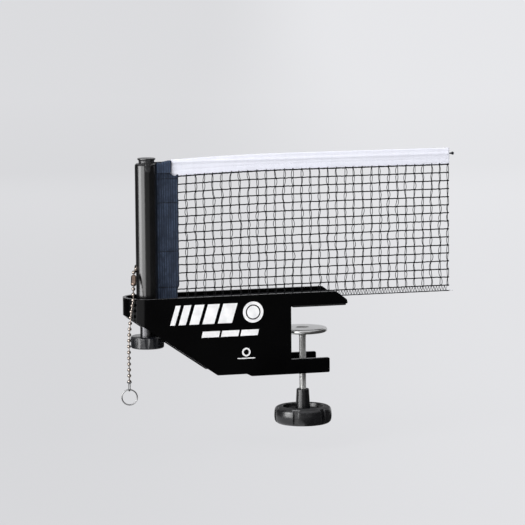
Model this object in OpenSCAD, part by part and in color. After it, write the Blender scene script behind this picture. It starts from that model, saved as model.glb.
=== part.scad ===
// Table tennis net clamp with its post, height screw, tension chain and the near end of the net.
// Millimetres. The origin is on the clamp screw's axis, in the plane of the table's top face,
// +X runs along the net towards the middle of the table, +Z is up.

/* [Clamp jaw] */
// From the table edge in to the screw axis
screw_to_edge = 19; // [14:1:24]
// From the table edge to the tip of the upper jaw
jaw_reach = 59.5; // [52:0.5:75]
// Length of the jaw's level top edge past the table edge
jaw_top_len = 47; // [38:1:50]
// Height of the slanted jaw tip where it turns down
jaw_tip_h = 5.8; // [4:0.2:8]
// Height of the throat, from the table's top face to the lower arm
throat_h = 52; // [44:1:60]
// From the table edge to the end of the lower arm
arm_reach = 40; // [34:1:48]
// Depth of the lower arm
arm_h = 15; // [12:1:20]
// Thickness of the rubber jaw pad
pad_t = 1.5; // [1:0.25:3]
// Thickness of the plate that joins the two cheeks in the upper jaw
jaw_plate_t = 2.5; // [2:0.1:3]

/* [Bracket] */
// Thickness of the folded sheet
sheet_t = 3; // [2:0.5:4]
// Width over the two cheeks
bracket_w = 48; // [44:1:56]
// Height of the cheeks' top edge above the table
rim_h = 14.5; // [12:0.5:20]
// From the table edge out to the post's axis
post_to_edge = 142; // [132:1:150]
// From the table edge out to the corner where the slanted edge starts
heel_to_edge = 76.5; // [68:0.5:84]
// Rise of the outer part of the bottom edge
step_h = 2.5; // [1:0.5:5]
// From the table edge out to that step
step_to_edge = 41.5; // [32:0.5:50]
// Angle of the slanted edge below the horizontal
slant_a = 34.5; // [30:0.5:38]

/* [Clamp screw] */
// Diameter of the screw
screw_d = 7.2; // [6:0.2:8]
// Across flats of the welded nut
nut_af = 13; // [11:0.5:15]
// Height of the welded nut
nut_h = 6; // [4:0.5:8]
// Diameter of the pressure disc
disc_d = 50; // [40:1:52]
// Thickness of the pressure disc at its rolled rim
disc_t = 4.6; // [4:0.2:6]
// Depth of the disc's top face below the table's top face, as drawn
disc_drop = 23.5; // [20:0.5:26]
// From the table's top face down to the top of the knob's hub, as drawn
hub_drop = 86; // [84:1:95]

/* [Star knob] */
// Diameter over the lobes
star_d = 58.4; // [50:0.4:64]
// Height of the lobes
star_h = 17.4; // [14:0.2:22]
// Number of lobes
star_lobes = 6; // [5:1:8]
// Length of the hub above the lobes
star_hub_h = 17.4; // [12:0.2:22]
// Diameter of the hub at its top
star_hub_d = 12.6; // [11:0.2:15]
// Diameter of the recess round the hub
star_recess_d = 41.4; // [36:0.2:44]
// Width of the channel between two lobes
channel_w = 5; // [3:0.5:8]
// Depth of the channel between two lobes
channel_depth = 3; // [1.5:0.25:4]

/* [Post] */
// Diameter of the post
post_d = 21; // [19:0.5:22]
// Wall of the post
post_wall = 1.5; // [1:0.25:2]
// From the net's top edge down to the top of the post
post_drop = 5.5; // [5:0.5:8]
// Height of the post's foot above the table
post_foot = 0.2; // [0:0.1:2]
// Width of the slot that the net sleeve slides into
slot_w = 2.4; // [2:0.2:4]
// Height of the chain's exit hole
chain_exit_h = 42.6; // [40:0.2:50]
// Height of the cap above the post
cap_h = 5; // [4:0.5:8]
// Diameter of the cap's lip
cap_d = 18; // [16:0.5:20]
// Width of the cap's thumb tab
tab_w = 5.4; // [4:0.2:8]
// Length of the tab below the post's top
tab_len = 8.6; // [6:0.2:12]

/* [Height screw] */
// Diameter of the spindle below the bracket
spindle_d = 14; // [12:0.5:15]
// Diameter of the spindle's thread inside the post
spindle_thread_d = 10; // [8:0.5:11]
// Diameter of the height knob
height_knob_d = 34; // [28:0.4:38]
// Height of the height knob
height_knob_h = 12; // [9:0.2:14]
// From the table's top face down to the top of the height knob
height_knob_drop = 24.6; // [22:0.2:34]

/* [Net] */
// Height of the net's top edge above the table, at the table's edge line
net_h = 152.5; // [150:0.5:154]
// From the screw axis to the free edge of this length of net
net_reach = 157; // [120:1:200]
// Height of the net's lower edge above the table
net_gap = 6.3; // [6.3:0.1:8]
// Height of the white tape
tape_h = 16; // [13:0.5:18]
// Drop of the tape's top edge at the post
tape_dip = 2.8; // [0:0.2:4]
// Thickness of the tape
tape_t = 1.4; // [1:0.1:2]
// Diameter of the tension cord
cord_d = 1.8; // [1.4:0.1:2]
// Width of the sleeve between the post and the mesh
sleeve_w = 22.2; // [18:0.2:26]
// Height of the hem
hem_h = 6.1; // [5:0.1:8]
// Meshes along the net
mesh_cols = 25; // [12:1:25]
// Meshes up the net
mesh_rows = 12; // [8:1:12]
// Thickness of the thread
thread_d = 0.9; // [0.7:0.1:1.4]

/* [Chain] */
// Diameter of a bead
bead_d = 3.8; // [3.4:0.1:4]
// Distance from bead to bead
bead_pitch = 5.8; // [5.4:0.1:6.4]
// Outer diameter of the pull ring
ring_d = 16.4; // [14:0.4:24]
// Diameter of the ring's wire
ring_wire = 1.3; // [1:0.1:2]

/* [Hidden] */
$fn = 48;

fit = 0.05;          // radial clearance of a shaft in its hole
slip = 0.3;          // gap between pieces that move past each other
eps = 0.01;

edge_x = -screw_to_edge;
tip_x = edge_x + jaw_reach;
jaw_top_x = edge_x + jaw_top_len;
arm_x = edge_x + arm_reach;
post_x = edge_x - post_to_edge;
post_top = net_h - post_drop;
heel_x = edge_x - heel_to_edge;
step_x = edge_x - step_to_edge;
arm_top = -throat_h;
arm_bottom = arm_top - arm_h;
heel_z = arm_bottom + step_h;
cheek_y = bracket_w / 2;
cheek_in = cheek_y - sheet_t;
black = [0.09, 0.09, 0.095];
chrome = [0.78, 0.79, 0.81];
plastic = [0.2, 0.2, 0.21];
navy = [0.18, 0.21, 0.3];
nickel = [0.7, 0.68, 0.64];
brass = [0.72, 0.6, 0.32];

// Outline with each corner [x, y, r] rounded to radius r
function unit(v) = v / norm(v);
function corner(a, b, c, steps = 6) =
    let (p = [b[0], b[1]], u = unit([a[0], a[1]] - p), w = unit([c[0], c[1]] - p))
    b[2] == 0 ? [p] :
    let (half = acos(u * w) / 2, m = unit(u + w), centre = p + m * b[2] / sin(half),
        s = p + u * b[2] / tan(half) - centre, e = p + w * b[2] / tan(half) - centre,
        sweep = 180 - 2 * half, turn = sign(s[0] * e[1] - s[1] * e[0]))
    [for (i = [0:steps]) let (t = turn * sweep * i / steps)
        centre + [s[0] * cos(t) - s[1] * sin(t), s[0] * sin(t) + s[1] * cos(t)]];
function rounded(pts) = let (n = len(pts))
    [for (i = [0:n - 1]) each corner(pts[(i + n - 1) % n], pts[i], pts[(i + 1) % n])];

module along_y(half) {
    rotate([90, 0, 0]) linear_extrude(2 * half, center = true) children();
}
module bar(x0, x1, y0, y1, z0, z1) {
    translate([x0, y0, z0]) cube([x1 - x0, y1 - y0, z1 - z0]);
}
module rod(z0, z1, r) {
    translate([0, 0, z0]) cylinder(h = z1 - z0, r = r);
}
module cone(z0, z1, r0, r1) {
    rotate_extrude() polygon([[0, z0], [r0, z0], [r1, z1], [0, z1]]);
}
// Places its children at a, with their +Z turned towards b
module aim(a, b) {
    d = b - a;
    translate(a) rotate([0, acos(d[2] / norm(d)), atan2(d[1], d[0])]) children();
}
module wire(a, b, r) {
    aim(a, b) cylinder(h = norm(b - a), r = r, $fn = 24);
}
module at_post() {
    translate([post_x, 0, 0]) children();
}

// ---- Bracket: one sheet folded round the post into two cheeks ----
fold_r = cheek_y;
tail_x = post_x - fold_r - 1;
tail_z = heel_z + tan(slant_a) * (heel_x - tail_x);
cheek_edge = [
    [tail_x, rim_h, 0], [jaw_top_x, rim_h, 3], [tip_x - 1, jaw_tip_h, 2], [tip_x, pad_t, 1.2],
    [edge_x, pad_t, 0], [edge_x, arm_top, 0.8], [arm_x, arm_top, 1.6], [arm_x, arm_bottom, 1.6],
    [step_x, arm_bottom, 1.5], [step_x - 2 * step_h, heel_z, 1.5], [heel_x, heel_z, 2],
    [tail_x, tail_z, 0]];

module fold_plan(r) {
    at_post() circle(r, $fn = 96);
    translate([post_x, -r]) square([tip_x + 1 - post_x, 2 * r]);
}
module bracket() {
    color(black) intersection() {
        translate([0, 0, arm_bottom - 1]) linear_extrude(rim_h - arm_bottom + 2)
            difference() { fold_plan(fold_r); fold_plan(cheek_in); }
        along_y(fold_r + 1) polygon(rounded(cheek_edge));
    }
}

// ---- Upper jaw: welded plate, and the rubber pad pegged up through it ----
peg_x = [edge_x + 0.25 * jaw_reach, edge_x + 0.75 * jaw_reach];
peg_y = 0.25 * bracket_w;
peg_r = 2;
peg_head = 0.9;
jaw_plate_top = pad_t + jaw_plate_t;
jaw_inset = 1.5;
pad_inset = 2.2;

module pegs(r, z0, z1) {
    for (x = peg_x, y = [-peg_y, peg_y]) translate([x, y, 0]) rod(z0, z1, r);
}
module jaw_plate() {
    color(black) difference() {
        bar(edge_x + pad_inset, tip_x - 2 * jaw_inset, -cheek_in, cheek_in, pad_t, jaw_plate_top);
        pegs(peg_r + fit, 0, rim_h);
    }
}
module jaw_pad() {
    color([0.13, 0.13, 0.13]) {
        linear_extrude(pad_t) polygon(rounded([
            [edge_x + pad_inset, -cheek_y, 1], [tip_x - 1, -cheek_y, 4],
            [tip_x - 1, cheek_y, 4], [edge_x + pad_inset, cheek_y, 1]]));
        pegs(peg_r, pad_t - eps, jaw_plate_top + 0.1);
        pegs(peg_r + 0.8, jaw_plate_top, jaw_plate_top + peg_head);
    }
}

// ---- Lower arm: channel welded between the cheeks, with the nut welded under it ----
web_t = 3;
web_drop = 6.5;
arm_lip = 1.5;
web_top = arm_top - web_drop;
nut_top = web_top - web_t;
bridge_x = [-12, arm_x - 4];

module lower_bridge() {
    color(black) difference() {
        bar(bridge_x[0], bridge_x[1], -cheek_in, cheek_in, arm_bottom + arm_lip, web_top);
        bar(bridge_x[0] - 1, bridge_x[1] + 1, -cheek_in + web_t, cheek_in - web_t,
            arm_bottom - 1, nut_top);
        rod(arm_bottom, arm_top, screw_d / 2 + 0.6);
    }
}
module clamp_nut() {
    color(chrome) difference() {
        intersection() {
            translate([0, 0, nut_top - nut_h]) cylinder(h = nut_h, d = nut_af / cos(30), $fn = 6);
            cone(nut_top - nut_h, nut_top, nut_af / 2 + 0.2, nut_af / 2 + nut_h);
        }
        rod(arm_bottom - nut_h, arm_top, screw_d / 2 + fit);
    }
}

// ---- Pressure disc, screw and star knob ----
disc_r = disc_d / 2;
disc_z = -disc_drop;
rim_r = disc_t / 2;
skin_t = 2;
dish_r = 6.5;
dish_depth = 1.8;
boss_r = 7.5;
boss_h = 7;
boss_z = disc_z - boss_h;
neck_r = screw_d / 2 - 1.1;

module pressure_disc() {
    color(chrome) difference() {
        rotate_extrude($fn = 96) {
            translate([0, disc_z - skin_t]) square([disc_r - rim_r, skin_t]);
            translate([disc_r - rim_r, disc_z - rim_r]) circle(rim_r, $fn = 32);
            polygon([[0, boss_z], [boss_r - 1, boss_z], [boss_r, boss_z + 1],
                [boss_r + 1, disc_z - skin_t], [boss_r + 1, disc_z - 1], [0, disc_z - 1]]);
        }
        rod(boss_z - 1, disc_z + 1, neck_r + fit);
        rod(disc_z - dish_depth, disc_z + 1, dish_r);
    }
}
module disc_washer() {
    z0 = disc_z - dish_depth + slip;
    color(nickel) difference() {
        cone(z0, z0 + 0.9, dish_r - 1, dish_r - 1.6);
        rod(z0 - 1, z0 + 2, neck_r);
    }
}
hub_z = -hub_drop;
lobe_top = hub_z - star_hub_h;
lobe_bottom = lobe_top - star_h;
screw_end = hub_z - 22;

module clamp_screw() {
    color(chrome) rotate_extrude() polygon([[0, screw_end], [screw_d / 2 - 0.8, screw_end],
        [screw_d / 2, screw_end + 0.8], [screw_d / 2, boss_z - slip - 1],
        [screw_d / 2 - 0.6, boss_z - slip], [neck_r, boss_z - slip],
        [neck_r, disc_z - 0.4], [neck_r - 0.4, disc_z - 0.1], [0, disc_z - 0.1]]);
}
insert_r = screw_d / 2 + 1.2;
insert_h = 18;
insert_z = hub_z - insert_h - 1;
insert_bands = [insert_z + 3, insert_z + insert_h - 5];
band_h = 3;

module knob_insert() {
    color(brass) difference() {
        union() {
            rod(insert_z, insert_z + insert_h, insert_r);
            for (z = insert_bands) rod(z, z + band_h, insert_r + 0.5);
        }
        rod(insert_z - 1, hub_z, screw_d / 2 + fit / 2);
    }
}
recess_h = 5.2;
star_turn = -2.4;    // how far the knob stands past a channel on the X axis
shoulder_r = 5;
lobe_corner = 4;

// Section of the channel between the round-cornered faces of two lobes
module channel_section() {
    w = channel_w / 2;
    h = star_h / 2;
    f = lobe_corner;
    polygon(rounded([[-w - f, h + 2, 0], [-w - f, h, 0], [-w, h, f], [-w, -h, f], [-w - f, -h, 0],
        [-w - f, -h - 2, 0], [w + f, -h - 2, 0], [w + f, -h, 0], [w, -h, f], [w, h, f],
        [w + f, h, 0], [w + f, h + 2, 0]]));
}
module star_knob() {
    r = star_d / 2;
    hub_r = star_hub_d / 2;
    recess_r = star_recess_d / 2;
    color(plastic) difference() {
        rotate_extrude($fn = 96) polygon(rounded([
            [0, lobe_bottom + 1.4, 0], [r * 0.6, lobe_bottom + 1.4, 1.5],
            [r * 0.66, lobe_bottom, 1.5], [r - 0.9, lobe_bottom, shoulder_r],
            [r, lobe_bottom + 0.48 * star_h, 20], [r - 0.9, lobe_top, shoulder_r],
            [recess_r, lobe_top, 0.8], [recess_r - 0.8, lobe_top - recess_h, 2],
            [hub_r + 1.6, lobe_top - recess_h, 1.2], [hub_r + 1, lobe_top, 8], [hub_r, hub_z, 1],
            [0, hub_z, 0]]));
        for (i = [0:star_lobes - 1]) rotate(i * 360 / star_lobes + star_turn)
            translate([r - channel_depth, 0, lobe_bottom + star_h / 2])
                rotate([90, 0, 90]) linear_extrude(channel_depth + 1) channel_section();
        rod(screw_end - 0.5, hub_z + 1, screw_d / 2 + fit);
        rod(insert_z - fit, insert_z + insert_h + fit, insert_r + fit);
        for (z = insert_bands) rod(z - fit, z + band_h + fit, insert_r + 0.5 + fit);
    }
}

// ---- Post guide in the fold, and the height screw under it ----
guide_top = 8;
guide_bottom = -2.5;
guide_len = 13;
bearing_t = 3;
bearing_back = 16;
bearing_z = guide_bottom - bearing_t;
neck_d = spindle_thread_d + 2;
post_r = post_d / 2;
bore_r = post_r - post_wall;
guide_screw_x = 10.5;
guide_screw_len = 8;
guide_screw_y = cheek_in - 7.5;

module guide_plan(reach, back) {
    r = cheek_in - fit;
    intersection() {
        union() { circle(r, $fn = 96); translate([0, -r]) square([reach, 2 * r]); }
        translate([-back, -r]) square([back + reach, 2 * r]);
    }
}
module at_guide_screws() {
    for (y = [-guide_screw_y, guide_screw_y]) translate([guide_screw_x, y, 0]) children();
}
module post_guide() {
    color([0.12, 0.12, 0.12]) at_post() {
        difference() {
            translate([0, 0, guide_bottom]) linear_extrude(guide_top - guide_bottom)
                guide_plan(guide_len, cheek_in);
            rod(guide_bottom - 1, guide_top + 1, post_r + fit);
            at_guide_screws() rod(guide_bottom - 1, bearing_z + guide_screw_len + 1, 1.5);
        }
        // Key that keeps the post from turning
        bar(bore_r + 0.2, post_r + 1, -slot_w / 2 + 0.1, slot_w / 2 - 0.1, guide_bottom, guide_top);
    }
}
module bearing_plate() {
    color(black) at_post() difference() {
        translate([0, 0, bearing_z]) linear_extrude(bearing_t) guide_plan(guide_len + 4, bearing_back);
        rod(bearing_z - 1, guide_bottom + 1, neck_d / 2 + fit);
        at_guide_screws() {
            rod(bearing_z - 1, guide_bottom + 1, 1.6);
            cone(bearing_z - eps, bearing_z + 1.6, 3.1, 1.5);
        }
    }
}
module guide_screws() {
    color(nickel) at_post() at_guide_screws() {
        cone(bearing_z + 0.05, bearing_z + 1.55, 2.95, 1.45);
        rod(bearing_z + 1.5, bearing_z + guide_screw_len, 1.45);
    }
}
washer_t = 1;
clip_t = 1;
clip_z = guide_bottom + 0.15;
knob_top = -height_knob_drop;
knob_bottom = knob_top - height_knob_h;
spindle_top = 36;
tang_r = spindle_d / 2 - 2;
knob_screw_r = 2;

module height_spindle() {
    shoulder = bearing_z - washer_t - 0.1;
    groove_r = neck_d / 2 - 0.7;
    thread_r = spindle_thread_d / 2;
    color(chrome) at_post() difference() {
        rotate_extrude() polygon([[0, knob_bottom + 4], [tang_r, knob_bottom + 4],
            [tang_r, knob_top], [spindle_d / 2, knob_top], [spindle_d / 2, shoulder - 0.6],
            [spindle_d / 2 - 0.6, shoulder], [neck_d / 2, shoulder], [neck_d / 2, clip_z],
            [groove_r, clip_z], [groove_r, clip_z + clip_t], [neck_d / 2, clip_z + clip_t],
            [neck_d / 2, clip_z + clip_t + 1.4], [thread_r, clip_z + clip_t + 2],
            [thread_r, spindle_top - 1], [thread_r - 1, spindle_top], [0, spindle_top]]);
        rod(knob_bottom, knob_bottom + 14, knob_screw_r + fit);
    }
}
module thrust_washer() {
    color(nickel) at_post() difference() {
        rod(bearing_z - washer_t - 0.05, bearing_z - 0.05, spindle_d / 2 + 2);
        rod(bearing_z - 3, bearing_z + 1, neck_d / 2 + fit);
    }
}
module spindle_clip() {
    z0 = clip_z + 0.05;
    color(nickel) at_post() difference() {
        rod(z0, z0 + clip_t - 0.1, neck_d / 2 + 1.4);
        rod(z0 - 1, z0 + clip_t + 1, neck_d / 2 - 0.65);
        bar(-2, 2, 0, neck_d, z0 - 1, z0 + clip_t + 1);
    }
}
flutes = 12;
flute_r = 9;
flute_depth = 0.7;

module height_knob() {
    r = height_knob_d / 2;
    color([0.14, 0.14, 0.15]) at_post() difference() {
        rotate_extrude($fn = 96) polygon(rounded([
            [0, knob_bottom + 1, 0], [r - 4.5, knob_bottom + 1, 0.8], [r - 4, knob_bottom, 0.8],
            [r - 0.6, knob_bottom, 1.4], [r, knob_top - 1.6, 0.8], [r - 1.4, knob_top, 0.6],
            [0, knob_top, 0]]));
        for (i = [0:flutes - 1]) rotate((i + 0.5) * 360 / flutes)
            translate([r + flute_r - flute_depth, 0, knob_bottom - 1])
                cylinder(h = height_knob_h + 2, r = flute_r, $fn = 24);
        rod(knob_bottom + 4 - fit, knob_top + 1, tang_r + fit);
        rod(knob_bottom - 1, knob_top, knob_screw_r + 2 * fit);
        rod(knob_bottom - 1, knob_bottom + 3, 2.1 * knob_screw_r);
    }
}
module knob_screw() {
    color(nickel) at_post() difference() {
        union() {
            rod(knob_bottom + 0.7, knob_bottom + 2.95, 1.9 * knob_screw_r);
            rod(knob_bottom + 2.9, knob_bottom + 13, knob_screw_r);
        }
        translate([0, 0, knob_bottom]) cylinder(h = 2, r = 0.8 * knob_screw_r, $fn = 6);
    }
}

// ---- Post: slotted tube, its nut and cap, and the rod that holds the sleeve ----
crimp_h = 2.4;
crimp_r = post_r - 2.2;
bead_r = bead_d / 2;
eye_r = bead_r + 0.2;
exit_r = eye_r + 0.7;
rod_r = 2.4;
rod_x = bore_r - rod_r - 0.9;

module post_tube() {
    color([0.1, 0.1, 0.1]) at_post() difference() {
        rotate_extrude($fn = 96) polygon([[bore_r, post_foot], [post_r - 0.5, post_foot],
            [post_r, post_foot + 0.5], [post_r, post_top - crimp_h], [post_r - 0.4, post_top - crimp_h / 2],
            [crimp_r + 0.8, post_top - 0.3],
            [crimp_r, post_top], [crimp_r - post_wall, post_top],
            [bore_r, post_top - crimp_h - 0.6]]);
        bar(0, post_r + 1, -slot_w / 2, slot_w / 2, post_foot - 1, post_top + 1);
        translate([0, 0, chain_exit_h]) rotate([0, -90, 0]) cylinder(h = post_r + 1, r = exit_r);
    }
}
nut_foot = post_foot + 8;
nut_head = nut_foot + 18;

module spindle_nut() {
    color(brass) at_post() difference() {
        rod(nut_foot, nut_head, bore_r - fit);
        rod(post_foot, nut_head + 1, spindle_thread_d / 2 + fit);
        bar(0, post_r, -slot_w, slot_w, nut_foot - 1, nut_head + 1);
    }
}

// ---- Top edge of the tape, and the taut cord: up the post, over a bend, then through the tape ----
cord_r = cord_d / 2;
bend_r = 4;
sleeve_x = post_x + post_r + slip;
mesh_x = post_x + post_r + sleeve_w;
tape_x = mesh_x - 4.7;
tunnel_wall = 0.3;
cord_z = post_top;
function tape_z(x) = net_h - tape_dip * pow(min(0, x) / tape_x, 2);
tape_steps = 8;
tape_stations = concat([for (i = [tape_steps:-1:0]) tape_x * i / tape_steps], [net_reach]);

module cord_path(r, z0, x1) {
    at_post() rod(z0, cord_z - bend_r, r);
    at_post() translate([bend_r, 0, cord_z - bend_r]) rotate([90, -90, 0])
        rotate_extrude(angle = 90) translate([bend_r, 0]) circle(r, $fn = 24);
    wire([post_x + bend_r, 0, cord_z], [x1, 0, cord_z], r);
}
cap_shift = 1.2;
cap_lip = 2.4;
grip_ribs = 3;

module cap_tab(z0, z1, proud) {
    at_post() intersection() {
        difference() {
            rod(z0, z1, post_r + proud);
            rod(z0 - 1, z1 + 1, post_r + 0.1);
        }
        along_y(post_r + 5) union() {
            translate([0, z0 + tab_w / 2]) circle(tab_w / 2, $fn = 32);
            translate([-tab_w / 2, z0 + tab_w / 2]) square([tab_w, z1 - z0]);
        }
        bar(-tab_w, tab_w, -post_r - 5, 0, z0 - 1, z1 + 1);
    }
}
module post_cap() {
    lip_z = post_top + cap_h - cap_lip;
    r = cap_d / 2;
    color(plastic) difference() {
        union() {
            at_post() rod(post_top - 7, post_top + 0.1, crimp_r - post_wall - 0.1);
            at_post() translate([cap_shift, 0, 0]) rotate_extrude() polygon(rounded([
                [0, post_top, 0], [r - 1.4, post_top, 0.3], [r - 1.1, lip_z, 0.5],
                [r, lip_z + 0.9, 0.5], [r, lip_z + 2, 0.4], [r - 1, post_top + cap_h, 0.4],
                [0, post_top + cap_h - 0.5, 0]]));
            cap_tab(post_top - tab_len, post_top + 0.6, 0.7);
            cap_tab(post_top - tab_w / 2 - 0.4, post_top + 0.6, 1.3);
            at_post() intersection() {
                rotate_extrude() for (i = [1:grip_ribs])
                    translate([post_r + 0.7, post_top - tab_len * (1 - 0.17 * i)]) circle(0.45, $fn = 16);
                bar(-tab_w * 0.38, tab_w * 0.38, -post_r - 5, 0, post_top - tab_len, post_top);
            }
            at_post() intersection() {
                rod(post_top + 0.1, lip_z + 0.5, post_r + 1.3);
                bar(-tab_w / 2, tab_w / 2, -post_r - 5, 2 - r, post_top, lip_z + 0.5);
            }
        }
        cord_path(cord_r + 0.3, post_top - 8, post_x + 2 * post_r);
    }
}
sleeve_foot = guide_top + 2.3;
sleeve_top = tape_z(tape_x) - tape_h - 0.2;
rod_foot = sleeve_foot + 30;
sleeve_t = 2.4;
ribs = 9;

module sleeve_rod() {
    color([0.85, 0.85, 0.82]) translate([post_x + rod_x, 0, 0]) rod(rod_foot, sleeve_top - 1, rod_r);
}

// ---- Net: ribbed sleeve, end tab, tape, mesh and hem ----
module net_sleeve() {
    rib = (mesh_x - sleeve_x) / ribs;
    color(navy) difference() {
        union() {
            translate([0, 0, sleeve_foot]) linear_extrude(sleeve_top - sleeve_foot) {
                translate([sleeve_x, -sleeve_t / 2 + 0.3]) square([mesh_x - sleeve_x, sleeve_t - 0.6]);
                for (i = [0:ribs - 1], s = [-1, 1])
                    translate([sleeve_x + (i + 0.5) * rib, s * (sleeve_t / 2 - 0.75)])
                        circle(r = rib * 0.42, $fn = 16);
            }
            translate([0, 0, rod_foot]) linear_extrude(sleeve_top - rod_foot - 1) {
                translate([post_x + rod_x, 0]) circle(rod_r + 0.7);
                translate([post_x + rod_x, -0.7]) square([sleeve_x - post_x - rod_x + 1, 1.4]);
            }
        }
        translate([post_x + rod_x, 0, 0]) rod(sleeve_foot, sleeve_top + 1, rod_r + fit);
    }
}
// Wraps its children round the cord between x0 and x1
module tunnel(x0, x1) {
    difference() {
        union() {
            children();
            wire([x0, 0, cord_z], [x1, 0, cord_z], cord_r + tunnel_wall);
        }
        wire([x0 - 1, 0, cord_z], [x1 + 1, 0, cord_z], cord_r + fit);
    }
}
module tape_end() {
    z1 = tape_z(tape_x) - 1.2;
    x0 = post_x + post_r + 1.2;
    x1 = tape_x - 0.1;
    color(navy) tunnel(x0, x1)
        along_y(tape_t / 2 + 0.2) polygon(rounded([[x0, sleeve_top + 0.1, 0], [x1, sleeve_top + 0.1, 0],
            [x1, z1, 0.8], [x1 - 8, z1 - 0.3, 4], [x1 - 11, z1 - 1.1, 2], [x0, z1 - 0.8, 0.5]]));
}
module net_tape() {
    n = len(tape_stations);
    color([0.93, 0.94, 0.98]) tunnel(tape_x, net_reach)
        along_y(tape_t / 2) polygon(concat([for (x = tape_stations) [x, tape_z(x)]],
            [for (i = [n - 1:-1:0]) [tape_stations[i], tape_z(tape_stations[i]) - tape_h]]));
}
mesh_foot = net_gap + hem_h;
function row_z(x, j) = mesh_foot + (tape_z(x) - tape_h - 2 * eps - mesh_foot) * j / mesh_rows;

module net_mesh() {
    pitch = (net_reach - thread_d - mesh_x) / mesh_cols;
    t = thread_d / 2;
    color([0.2, 0.2, 0.22]) along_y(t) difference() {
        polygon(concat([[mesh_x, mesh_foot], [net_reach, mesh_foot]],
            [for (i = [mesh_cols:-1:0]) let (x = i == mesh_cols ? net_reach : mesh_x + i * pitch)
                [x, row_z(x, mesh_rows)]]));
        for (i = [0:mesh_cols - 1], j = [0:mesh_rows - 1])
            let (x0 = mesh_x + i * pitch + thread_d, x1 = mesh_x + (i + 1) * pitch)
                polygon([[x0, row_z(x0, j) + t], [x1, row_z(x1, j) + t],
                    [x1, row_z(x1, j + 1) - t], [x0, row_z(x0, j + 1) - t]]);
    }
}
hem_t = 1.2;
hem_cord_r = 0.6;
hem_cord_z = net_gap + hem_cord_r + tunnel_wall;
tail = 4;            // how far the cords stand out past the cut end of the net

module hem_run(r, x1) {
    wire([mesh_x, 0, hem_cord_z], [x1, 0, hem_cord_z], r);
}
module net_hem() {
    color([0.3, 0.3, 0.33]) difference() {
        union() {
            bar(mesh_x, net_reach, -hem_t / 2, hem_t / 2, net_gap + 0.1, mesh_foot);
            hem_run(hem_cord_r + tunnel_wall, net_reach);
        }
        hem_run(hem_cord_r + fit, net_reach + 1);
    }
}
module hem_cord() {
    color([0.85, 0.85, 0.85]) hem_run(hem_cord_r, net_reach + tail);
}
clasp_z = chain_exit_h + 4.4;

module tension_cord() {
    color([0.1, 0.1, 0.12]) {
        cord_path(cord_r, clasp_z + 3.5, net_reach + tail);
        translate([net_reach + tail, 0, cord_z]) sphere(cord_r * 1.9, $fn = 24);
    }
}
module cord_clasp() {
    color(nickel) at_post() translate([0, 0, clasp_z]) difference() {
        rotate_extrude() polygon(rounded([[0, -0.3, 0], [bead_r + 0.6, -0.3, 0.2],
            [bead_r + 0.6, 3, 1], [cord_r + 0.9, 5, 1], [cord_r + 0.7, 9, 0.3], [0, 9, 0]]));
        sphere(bead_r + 0.1);
        rod(3, 10, cord_r + fit);
        rod(-1, 0, bead_r + 0.1);
    }
}

// ---- Ball chain: beads at an even spacing along a route, with a wire from bead to bead ----
module strand(beads) {
    for (p = beads) translate(p) sphere(bead_r, $fn = 24);
    for (i = [1:len(beads) - 1]) wire(beads[i - 1], beads[i], neck_wire);
}
function at_length(pts, s, i = 0) = let (d = norm(pts[i + 1] - pts[i]))
    s <= d || i == len(pts) - 2 ? pts[i] + (pts[i + 1] - pts[i]) * s / d
    : at_length(pts, s - d, i + 1);
function route_length(pts, i = 0) =
    i == len(pts) - 1 ? 0 : norm(pts[i + 1] - pts[i]) + route_length(pts, i + 1);
function beads_on(pts, n) = [for (i = [0:n]) at_length(pts, route_length(pts) * i / n)];
function slice(list, a, b) = [for (i = [a:b]) list[i]];

neck_wire = 0.6;
fall_a = 224.8;      // direction from the post's axis to the place where the chain crosses the rim
rim_gap = 0.4;
fall_beads = 14;
fall_drift = 5;      // how far the hanging end has swung out to the left
wall_pt = [-post_r - 0.1, 0, chain_exit_h];
rim_pt = [(cheek_y + bead_r + rim_gap) * cos(fall_a), (cheek_y + bead_r + rim_gap) * sin(fall_a),
    rim_h - 0.5];
turn_pt = wall_pt + [-3, -2.4, -1.6];
inner_beads = beads_on([[0, 0, clasp_z], wall_pt], 2);
outer_route = [wall_pt, turn_pt, rim_pt];
outer_count = round(route_length(outer_route) / bead_pitch);
outer_beads = beads_on(outer_route, outer_count);
fall_pts = [for (i = [0:fall_beads]) let (q = 1 - min(1, i / 9), dx = fall_drift * (1 - q * q))
    rim_pt - [dx, 0, i * bead_pitch - dx * dx / 50]];
last_pt = fall_pts[fall_beads];

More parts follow.
